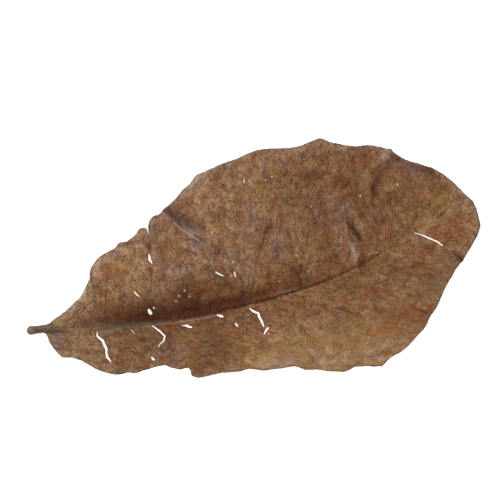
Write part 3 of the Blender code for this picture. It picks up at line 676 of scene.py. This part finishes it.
def leaf_fields(points, rims, spine):
    """What the relief and the colours share: distances, veins, creases and specks."""
    offset, _ = offset_from_line(points, spine)
    vein_distance, vein_strength = vein_net(points, SIDE_VEINS)
    along, across = turned(*points.T, np.where(offset > 0, *RELIEF_GRAIN))
    net = cell_borders(along / NET_CELL[0], across / NET_CELL[1], 21)
    wander = Noise(14)
    x, y = points.T
    strayed = points + 0.35 * np.c_[wander(x / 2.6, y / 2.6), wander(y / 2.6, x / 2.6)]
    dark, pale, speck, cast = np.zeros((4, len(points)))
    for rows, strength in ((CREASES, dark), (GLINTS, pale)):
        for half, shown, rise, line in rows:
            side, place = offset_from_line(strayed, smooth_curve(line, CREASE_STEP))
            ends = np.sqrt(np.clip(4 * place * (1 - place), 0, 1))
            profile = np.exp(-((side / (half / 100)) ** 2)) * ends
            np.maximum(strength, shown / 100 * profile, out=strength)
            cast += rise * profile
    for speck_x, speck_y, radius in SPECKS:
        gap = np.hypot(strayed[:, 0] - speck_x, strayed[:, 1] - speck_y)
        np.maximum(speck, np.exp(-((gap / radius) ** 2)), out=speck)
    return {
        "dark_crease_and_shade": dark,
        "painted_highlight": pale,
        "speck": speck,
        "cast": cast,
        "offset": offset,
        "share": offset / along_x(RIB_SECTIONS, points[:, 0]),
        "vein": np.exp(-((vein_distance / VEIN_HALF_WIDTH) ** 2)) * vein_strength,
        "vein_distance": vein_distance,
        "margin": distance_to_loops(points, rims[:1]),
        "crack": distance_to_loops(points, rims[1:]),
        "net": np.exp(-((net / 0.17) ** 2)),
    }


def crumple(points, fields):
    """Relief that both skins share, in millimetres."""
    x, y = points.T
    noise, more = Noise(11), Noise(12)
    blade = np.maximum(smoothstep(0.8, 3.0, np.abs(fields["share"])), smoothstep(45, 70, x))
    blade *= smoothstep(-104, -96, x)
    # Broad buckles and smaller ones, then panels between sharp crests, and fine wrinkles.
    z = 0.5 * noise(x / 17, y / 14) + 0.28 * more(x / 8, y / 7)
    z += 0.34 * (0.45 - np.abs(noise(x / 12 + 50, y / 9))) + 0.12 * more(x / 3.4, y / 3)
    z -= 0.1 * fields["net"]
    for line, height in FOLDS:
        side, along = offset_from_line(points, smooth_curve(line, VEIN_STEP))
        z += height * np.exp(-np.abs(side) / 1.7) * np.sin(math.pi * np.clip(along, 0.02, 0.98))
    offset = fields["offset"]
    lip = np.where(offset > 0, smoothstep(0.2, 1.3, offset) * np.exp(-offset / 9), 0)
    z = z * blade + along_x(LIP, x) * lip
    # A groove along the midrib, curled margins, and lips along the cracks.
    z -= 0.25 * np.exp(-((offset / 0.5) ** 2)) * smoothstep(-62, -45, x) * smoothstep(74, 62, x)
    curl = np.exp(-fields["margin"] / 2.4) * smoothstep(-104, -98, x)
    z += curl * (0.75 * noise(x / 8, y / 8 + 30) + 0.35 * more(x / 2.6 + 5, y / 2.6))
    z += 0.8 * np.exp(-fields["crack"] / 1.1) * noise(x / 3.1 + 90, y / 3.1)
    return z + fields["cast"]


def skin_heights(points, fields, cad_upper, cad_lower, spine):
    """The upper and lower height at each fine plan point, in millimetres."""
    x = points[:, 0]
    cad_share = offset_from_line(cad_upper[:, :2], spine)[0]
    cad_share /= along_x(RIB_SECTIONS, cad_upper[:, 0])
    on_blade = (np.abs(cad_share) > 1.1) | (cad_upper[:, 0] > BULGE_END)
    blade = sampled(cad_upper[on_blade, :2], cad_upper[on_blade, 2], points)
    crest, keel = (centre_row(skin, spine, x) for skin in (cad_upper, cad_lower))
    share = fields["share"]
    round_off = np.sqrt(np.clip(1 - np.clip(np.abs(share), 0, RIB_EDGE) ** 2, 0, 1))
    over, under = along_x(RIB_SECTIONS, x, 2), along_x(RIB_SECTIONS, x, 3)
    rod_upper, rod_lower = crest - over * (1 - round_off), keel + under * (1 - round_off)
    on_rod = smoothstep(ROD_END + 4, ROD_END, x)
    ribbed = np.abs(share) < 1
    upper = np.where(ribbed & (x < BULGE_END), np.maximum(blade, rod_upper), blade)
    upper = (1 - on_rod) * upper + on_rod * rod_upper
    lower = upper - BLADE_THICKNESS
    lower = np.where(ribbed, np.minimum(lower, rod_lower), lower)
    lower = (1 - on_rod) * lower + on_rod * rod_lower
    relief = crumple(points, fields)
    vein = fields["vein"] * (1 - on_rod)
    away = smoothstep(1.0, 2.0, np.abs(share))
    upper += relief - VEIN_GROOVE * vein
    ridge = VEIN_RIDGE * np.exp(-((fields["vein_distance"] / 0.75) ** 2)) * away
    lower += relief - ridge * (vein > 0.01) - 0.16 * fields["net"] * away
    # The petiole and the midrib's foot are furrowed lengthwise.
    ribs = 0.1 * np.sin(fields["share"] * 9 + 0.5 * Noise(13)(x / 6, x / 9))
    upper += ribs * smoothstep(-78, -100, x) * ribbed
    lower = np.maximum(lower, FLOOR_GAP)
    return np.maximum(upper, lower + 0.8 * BLADE_THICKNESS), lower


def centre_row(skin, spine, x):
    """The height of a packed skin along the middle of the midrib."""
    offset, _ = offset_from_line(skin[:, :2], spine)
    row = skin[np.abs(offset) < 0.3]
    row = row[np.argsort(row[:, 0])]
    return np.interp(x, row[:, 0], row[:, 2])


def colour_masks(points, fields):
    """The masks that the material reads: from 0 to 1, but for the shade, a brightness about 1 that
    holds painted light and shade, and the side, above 0 on the broader half."""
    x = points[:, 0]
    noise = Noise(31)
    offset, share = fields["offset"], np.abs(fields["share"])
    # The band beside the midrib: partly a stain, partly painted shade.
    width, strength = along_x(MIDRIB_BAND, x), along_x(MIDRIB_BAND, x, 2)
    ragged = offset + 1.3 * noise(x / 4, points[:, 1] / 4)
    band = strength * smoothstep(width * 1.25, width * 0.55, ragged) * (offset > 0)
    # Painted light and shade, partly the blade's own lighter and darker tissue.
    shade = np.sum(list(spots(points, SHADES, Noise(36), 1.0)), axis=0)
    # Painted light along the margin.
    shade += MARGIN_PAINTED_LIGHT * np.exp(-((fields["margin"] / 3.0) ** 2))
    seam = np.interp(x, [50, 85], [0.2, 12])
    greyed = np.where(offset > 0, smoothstep(75, 45, x), smoothstep(-62, -85, x))
    greyed = np.maximum(0.85 * greyed, 0.6 * smoothstep(95, 110, x))
    rib = smoothstep(1.15, 0.75, share * np.interp(x, [-104, -92, -40], [1.0, 1.35, 1.7]))
    return {
        "shade": np.exp(shade),
        "dark": np.maximum(band, stained(points, DARK_STAINS_AND_SHADOWS, 31)),
        "rust": stained(points, RUST_STAINS, 32),
        "olive": stained(points, OLIVE_STAINS, 33),
        "mauve": stained(points, MAUVE_STAINS_AND_SHEEN, 34),
        "tan": stained(points, [AURICLE], 35),
        "knob": stained(points, [KNOB], 37),
        "petiole": smoothstep(-100, -107, x + 1.5 * noise(x / 3, points[:, 1])) * (share < 1.6),
        "rib": rib * along_x(RIB_TINT, x),
        **{name: fields[name] for name in ("vein", "dark_crease_and_shade", "painted_highlight", "speck")},
        "greyed": np.exp(-fields["margin"] / 2.4) * greyed,
        "calm": smoothstep(-16, -30, offset) * smoothstep(-25, 0, x),
        "edge": np.exp(-((fields["margin"] / 0.5) ** 2)),
        "torn": np.exp(-((fields["crack"] / 0.5) ** 2)),
        "side": np.clip(offset, -5, 5),
        "narrow": smoothstep(seam, -seam, offset),
    }


def rim_edges(triangles):
    """The directed edges that only one triangle has."""
    edges = np.vstack([triangles[:, [0, 1]], triangles[:, [1, 2]], triangles[:, [2, 0]]])
    span = triangles.max() + 1
    own, other = edges[:, 0] * span + edges[:, 1], edges[:, 1] * span + edges[:, 0]
    return edges[~np.isin(own, other)]


def leaf_mesh(plan, triangles, upper, lower, bulge):
    """One closed mesh of the two skins and a rounded wall along each rim. Its vertices are the
    upper skin's, the lower skin's, and then one row in the middle of the walls."""
    count = len(plan)
    rim = rim_edges(triangles)
    on_rim = np.unique(rim)
    run = plan[rim[:, 1]] - plan[rim[:, 0]]
    outward = np.zeros((count, 2))
    normal = np.c_[run[:, 1], -run[:, 0]]
    np.add.at(outward, rim[:, 0], normal)
    np.add.at(outward, rim[:, 1], normal)
    outward = outward[on_rim] / np.hypot(*outward[on_rim].T)[:, None]
    middle = plan[on_rim] + outward * bulge[on_rim, None]
    wall = np.full(count, -1)
    wall[on_rim] = 2 * count + np.arange(len(on_rim))
    points = np.vstack([
        np.c_[plan, upper],
        np.c_[plan, lower],
        np.c_[middle, ((upper + lower) / 2)[on_rim]],
    ])
    start, end = rim.T
    quads = np.vstack([
        np.c_[end, start, wall[start], wall[end]],
        np.c_[wall[end], wall[start], start + count, end + count],
    ])
    faces = triangles.tolist() + (triangles[:, ::-1] + count).tolist() + quads.tolist()
    mesh = bpy.data.meshes.new("leaf")
    mesh.from_pydata(points * MILLIMETRE, [], faces)
    mesh.shade_smooth()
    return mesh, on_rim


def unwrap(mesh, plan, triangles, wall_faces):
    """The upper skin over the lower one on the map, and the walls in strips along the bottom."""
    skin_width, upper_corner, lower_corner = 0.94, (0.03, 0.515), (0.03, 0.025)
    strip_corner, strip_width, strip_height = (0.02, 0.001), 0.96, 0.0022
    low, high = plan.min(axis=0), plan.max(axis=0)
    scale = skin_width / (high[0] - low[0])
    flat = (plan - low) * scale
    skins = np.vstack([
        (flat + upper_corner)[triangles].reshape(-1, 2),
        (flat + lower_corner)[triangles[:, ::-1]].reshape(-1, 2),
    ])
    # Each wall face is a short piece of a strip that starts again at the map's left side.
    length = RIM_STEP * scale
    per_row = int(strip_width / length)
    half = wall_faces // 2
    number = np.arange(wall_faces) % half
    left = strip_corner[0] + (number % per_row) * length
    row = number // per_row * 2 + (np.arange(wall_faces) >= half)
    bottom = strip_corner[1] + row * strip_height
    corners = [(1, 1), (0, 1), (0, 0), (1, 0)]
    walls = np.stack([
        np.c_[left + a * length, bottom + 0.9 * b * strip_height] for a, b in corners
    ], axis=1).reshape(-1, 2)
    layer = mesh.uv_layers.new(name="OFBake")
    layer.data.foreach_set("uv", np.vstack([skins, walls]).ravel())


def placed(name, data):
    """A new object in the scene."""
    thing = bpy.data.objects.new(name, data)
    bpy.context.scene.collection.objects.link(thing)
    return thing


def build_leaf():
    cad_upper, cad_lower, margin = read_cad_leaf()
    spine = smooth_curve(MIDRIB, RIB_STEP)
    rims = leaf_rims(margin, spine)
    plan, triangles = fine_plan(rims, lattice(margin, spine), detail_points(spine))
    fields = leaf_fields(plan, rims, spine)
    upper, lower = skin_heights(plan, fields, cad_upper, cad_lower, spine)
    # The walls stand out in the middle: hardly in a crack, and more where the leaf is thick.
    bulge = np.where(fields["crack"] < 0.01, 0.02, np.clip((upper - lower) * 0.3, 0.05, 0.5))
    mesh, on_rim = leaf_mesh(plan, triangles, upper, lower, bulge)
    masks = colour_masks(plan, fields)
    masks["under"] = np.zeros(len(plan))
    for name, values in masks.items():
        below = np.ones(len(plan)) if name == "under" else values
        stored = np.concatenate([values, below, ((values + below) / 2)[on_rim]])
        mesh.attributes.new(name, "FLOAT", "POINT").data.foreach_set("value", stored)
    unwrap(mesh, plan, triangles, len(mesh.polygons) - 2 * len(triangles))
    return placed("leaf", mesh)


class Nodes:
    """A material's node tree, with short calls for the few kinds of node used here."""

    def __init__(self, name):
        self.material = bpy.data.materials.new(name)
        self.material.use_nodes = True
        self.tree = self.material.node_tree
        self.shader = self.tree.nodes["Principled BSDF"]

    def feed(self, node, inputs):
        for name, value in inputs.items():
            if isinstance(value, bpy.types.NodeSocket):
                self.tree.links.new(value, node.inputs[name])
            else:
                node.inputs[name].default_value = value

    def add(self, kind, inputs, output=0, **settings):
        """The output of a new node."""
        node = self.tree.nodes.new("ShaderNode" + kind)
        for key, value in settings.items():
            setattr(node, key, value)
        self.feed(node, inputs)
        return node.outputs[output]

    def mask(self, name):
        return self.add("Attribute", {}, "Fac", attribute_name=name)

    def math(self, operation, a, b, clamp=False):
        return self.add("Math", {0: a, 1: b}, operation=operation, use_clamp=clamp)

    def times(self, a, b):
        return self.math("MULTIPLY", a, b)

    def ranged(self, value, low, high, to_low=0, to_high=1):
        inputs = {0: value, 1: low, 2: high, 3: to_low, 4: to_high}
        return self.add("MapRange", inputs, interpolation_type="SMOOTHSTEP")

    def mix(self, share, a, b, blend="MIX"):
        return self.add("Mix", {0: share, 6: a, 7: b}, 2, data_type="RGBA", blend_type=blend)

    def tinted(self, colour, mask, tint, share=1):
        """The colour, turned to a tint where a mask is, by a share."""
        return self.mix(self.times(self.mask(mask), share), colour, tint)

    def texture(self, kind, vector, size_mm, inputs, output, **settings):
        inputs = {"Vector": vector, "Scale": 1 / (size_mm * MILLIMETRE)} | inputs
        return self.add("Tex" + kind, inputs, output, **settings)

    def noise(self, vector, size_mm, detail=3, roughness=0.55):
        """Noise whose lumps are about size_mm across, from 0 to 1."""
        inputs = {"Detail": detail, "Roughness": roughness}
        return self.texture("Noise", vector, size_mm, inputs, "Fac")

    def net(self, vector, size_mm, width):
        """The borders of irregular cells about size_mm across: 1 on a border, 0 off it."""
        gap = self.texture("Voronoi", vector, size_mm, {}, "Distance",
                           voronoi_dimensions="2D", feature="DISTANCE_TO_EDGE")
        return self.ranged(gap, 0, width, 1, 0)

    def turned(self, vector, degrees, stretch):
        """Coordinates turned by an angle and drawn out along their new X."""
        inputs = {"Vector": vector, "Rotation": (0, 0, math.radians(degrees))}
        return self.add("Mapping", inputs | {"Scale": (stretch, 1, 1)}, vector_type="TEXTURE")


# Colours, linear.
MID_BROWN = (0.226, 0.101, 0.0425, 1)
MAUVE_BROWN = (0.246, 0.116, 0.06, 1)
TAN_BROWN = (0.271, 0.136, 0.06, 1)
DEEP_BROWN = (0.066, 0.017, 0.005, 1)
RUST = (0.232, 0.07, 0.018, 1)
OLIVE = (0.226, 0.121, 0.035, 1)
PALE_MAUVE = (0.275, 0.172, 0.118, 1)
GREY_BROWN = (0.245, 0.16, 0.106, 1)
TAN_PATCH = (0.36, 0.205, 0.08, 1)
PETIOLE_GREY = (0.062, 0.052, 0.034, 1)
PETIOLE_MAUVE = (0.17, 0.11, 0.082, 1)
RIM_GREY = (0.095, 0.06, 0.042, 1)
GLINT_HIGHLIGHT = (0.48, 0.36, 0.3, 1)
GLARE = (0.76, 0.66, 0.6, 1)
UNDER_BROWN = (0.27, 0.165, 0.092, 1)
PALE_GREY = (0.9, 0.9, 0.9, 1)
WHITE = (1, 1, 1, 1)
# Drifts of colour over the blade: the angle that they lie at, how far they are drawn out, their
# size, where the noise starts to show, how strong they are, and the colour.
DRIFTS = [
    (0, 1, 4.6, 0.48, 0.55, RUST), (40, 1.6, 4.6, 0.48, 0.5, OLIVE),
    (-50, 1.4, 3.6, 0.5, 0.55, GREY_BROWN),
]
# What is darker is also redder, as the tissue's brown takes blue before red: powers of the tone.
TONE_POWERS = (0.8, 1.04, 1.23)
BUMP_DEPTH = 1.0 * MILLIMETRE
BUMP_STRENGTH = 0.9
LEAF_SPECULAR = 0.16


class LeafSkin(Nodes):
    """The tree of the leaf's material, with the textures that its parts share."""

    def __init__(self):
        super().__init__("dry_leaf_skin")
        self.place = self.add("TexCoord", {}, "Object")
        broad, narrow = self.turned(self.place, *BROAD_GRAIN), self.turned(self.place, *NARROW_GRAIN)
        grain = self.mix(self.math("GREATER_THAN", self.mask("side"), 0), narrow, broad)
        self.patches = self.noise(grain, 7)
        self.mottle = self.noise(grain, 2.6)
        self.speckle = self.noise(grain, 0.9, roughness=0.7)
        self.wide_net = self.net(grain, 2.4, 0.24)
        self.small_net = self.net(grain, 1.15, 0.22)


def tissue(n):
    """The blade's own colour, in drifts and stains."""
    colour = n.mix(n.ranged(n.noise(n.place, 26, 2), 0.35, 0.65), MID_BROWN, TAN_BROWN)
    colour = n.mix(n.ranged(n.patches, 0.4, 0.68), colour, MAUVE_BROWN)
    for angle, stretch, size, low, share, tint in DRIFTS:
        drifts = n.noise(n.turned(n.place, angle, stretch), size, 1.5, 0.7)
        colour = n.mix(n.times(n.ranged(drifts, low, 0.64), share), colour, tint)
    colour = n.tinted(colour, "narrow", OLIVE, 0.12)
    uneven = n.ranged(n.mottle, 0.25, 0.62)
    colour = n.tinted(n.tinted(colour, "rust", RUST, uneven), "olive", OLIVE, uneven)
    colour = n.tinted(colour, "mauve", PALE_MAUVE, n.ranged(n.mottle, 0.3, 0.7, 0.25, 0.95))
    colour = n.tinted(colour, "greyed", GREY_BROWN)
    # The dark mask: stains, and painted shade beside the midrib and on the folds' flanks.
    return n.tinted(colour, "dark", DEEP_BROWN, n.ranged(n.speckle, 0.2, 0.6, 0.6, 1))


def tone_of(n):
    """Mottling, speckle and the shades, which are partly painted light and shade, as a brightness
    about 1 in each colour.
    """
    tone = n.ranged(n.mottle, 0.27, 0.62, 0.7, 1.2)
    for texture, *limits in (
        (n.speckle, 0.27, 0.59, 0.58, 1.22), (n.patches, 0.3, 0.7, 0.84, 1.14),
        (n.noise(n.place, 0.62, 1, 0.5), 0.27, 0.59, 0.66, 1.2),
    ):
        tone = n.times(tone, n.ranged(texture, *limits))
    tone = n.math("POWER", tone, n.ranged(n.mask("calm"), 0, 1, 1, 0.62))
    # The shade mask: painted light and shade, partly the blade's own tone.
    tone = n.times(tone, n.mask("shade"))
    powers = enumerate(TONE_POWERS)
    return n.add("CombineColor", {i: n.math("POWER", tone, power) for i, power in powers})


def faded(n, colour):
    """The colour, greyer in the mauve stains and in the painted sheen on a fold's crest."""
    left = n.ranged(n.mask("mauve"), 0.2, 1, 1, 0.78)
    return n.add("HueSaturation", {"Saturation": left, "Color": colour})


def marked(n, colour):
    """The colour with flecks, veins, creases darkened by painted shade, painted highlights on raised
    crests and specks of painted glare.
    """
    flecks = n.ranged(n.noise(n.place, 1.5, 2, 0.5), 0.66, 0.74)
    colour = n.mix(n.times(flecks, 0.45), colour, DEEP_BROWN)
    netted = n.math("ADD", n.times(n.wide_net, 0.38), n.times(n.small_net, 0.28))
    netted = n.times(netted, n.ranged(n.noise(n.place, 4, 2), 0.35, 0.62))
    netted = n.times(netted, n.ranged(n.mask("calm"), 0, 1, 1, 0.55))
    vein = n.times(n.mask("vein"), n.ranged(n.patches, 0.36, 0.66, 0.05, 0.45))
    colour = n.mix(n.math("ADD", vein, netted, clamp=True), colour, DEEP_BROWN)
    # Painted shade in the creases, partly their darker tissue.
    colour = n.tinted(colour, "dark_crease_and_shade", DEEP_BROWN, n.ranged(n.speckle, 0.25, 0.6, 0.55, 1))
    # A painted highlight along the raised crests.
    colour = n.tinted(colour, "painted_highlight", GLINT_HIGHLIGHT, n.ranged(n.speckle, 0.3, 0.65, 0.35, 1))
    # Specks of painted glare.
    return n.tinted(colour, "speck", GLARE)


def stalked(n, colour):
    """The colour with the midrib, the auricle beside its foot, and the petiole."""
    streak = n.noise(n.turned(n.place, -6, 9), 0.7)
    rib = n.mix(n.ranged(streak, 0.35, 0.65), PETIOLE_MAUVE, PETIOLE_GREY)
    colour = n.tinted(n.tinted(colour, "rib", rib, 0.75), "tan", TAN_PATCH)
    stalk = n.mix(n.ranged(streak, 0.38, 0.66), PETIOLE_GREY, PETIOLE_MAUVE)
    return n.tinted(colour, "petiole", n.tinted(stalk, "knob", PALE_MAUVE))


def relief(n):
    """A normal from fine grit and lumps, with the nets sunk in."""
    grit, lumps = n.noise(n.place, 0.8, roughness=0.7), n.noise(n.place, 2.2)
    height = n.math("ADD", n.times(grit, 0.1), n.times(lumps, 0.22))
    nets = n.times(n.math("ADD", n.wide_net, n.small_net), 0.05)
    height = n.math("SUBTRACT", height, nets)
    return n.add("Bump", {"Height": height, "Distance": BUMP_DEPTH, "Strength": BUMP_STRENGTH})


def leaf_material():
    n = LeafSkin()
    tone = tone_of(n)
    colour = marked(n, faded(n, n.mix(1, tissue(n), tone, "MULTIPLY")))
    under = n.tinted(n.mix(n.times(n.wide_net, 0.45), UNDER_BROWN, TAN_PATCH), "vein", TAN_PATCH)
    colour = n.tinted(colour, "under", n.mix(1, under, tone, "MULTIPLY"))
    colour = n.tinted(stalked(n, colour), "edge", RIM_GREY, 0.5)
    n.feed(n.shader, {
        # Darker along the cracks' edges.
        "Base Color": n.tinted(colour, "torn", DEEP_BROWN, 0.45),
        "Roughness": n.ranged(n.speckle, 0.3, 0.7, 0.52, 0.74),
        "Specular IOR Level": LEAF_SPECULAR,
        "Normal": relief(n),
    })
    return n.material


def add_floor():
    """A pale floor like a light table: it glows a little, so that cracks show it bright."""
    mesh = bpy.data.meshes.new("floor")
    corners = [(x * FLOOR_HALF, y * FLOOR_HALF, 0) for x, y in ((-1, -1), (1, -1), (1, 1), (-1, 1))]
    mesh.from_pydata(corners, [], [(0, 1, 2, 3)])
    n = Nodes("pale_floor")
    n.feed(n.shader, {
        "Base Color": PALE_GREY,
        "Roughness": 0.9,
        "Specular IOR Level": 0.1,
        "Emission Color": WHITE,
        "Emission Strength": FLOOR_GLOW,
    })
    mesh.materials.append(n.material)
    placed("floor", mesh)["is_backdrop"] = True


def add_lights():
    """Soft studio light: an even white surround, and a broad lamp above the leaf's upper left."""
    world = bpy.data.worlds.new("surround")
    world.use_nodes = True
    background = world.node_tree.nodes["Background"]
    background.inputs["Color"].default_value = WHITE
    background.inputs["Strength"].default_value = SURROUND_STRENGTH
    bpy.context.scene.world = world
    lamp = bpy.data.lights.new("soft_key", "AREA")
    lamp.shape = "DISK"
    lamp.size = LAMP_SIZE
    lamp.energy = LAMP_POWER
    key = placed("soft_key", lamp)
    key.location = LAMP_PLACE
    key.rotation_euler = (-LAMP_PLACE).to_track_quat("-Z", "Y").to_euler()


def add_camera():
    lens = bpy.data.cameras.new("camera")
    lens.lens = CAMERA_LENS
    lens.sensor_width = SENSOR_WIDTH
    camera = placed("camera", lens)
    middle_height = (cad_box[0].z + cad_box[1].z) / 2
    distance = FIELD_SIDE * CAMERA_LENS / SENSOR_WIDTH
    camera.location = (*CAMERA_CENTRE, middle_height + distance)
    camera.rotation_euler = (0, 0, CAMERA_TURN)
    bpy.context.scene.camera = camera


leaf = build_leaf()
leaf.data.materials.append(leaf_material())
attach(leaf, "root")
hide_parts(NODE)
add_floor()
add_lights()
add_camera()
bpy.context.scene.view_settings.view_transform = "Standard"

boxes = {"cad": cad_box, "visual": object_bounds()}
{k: [list(corner) for corner in box] for k, box in boxes.items()}
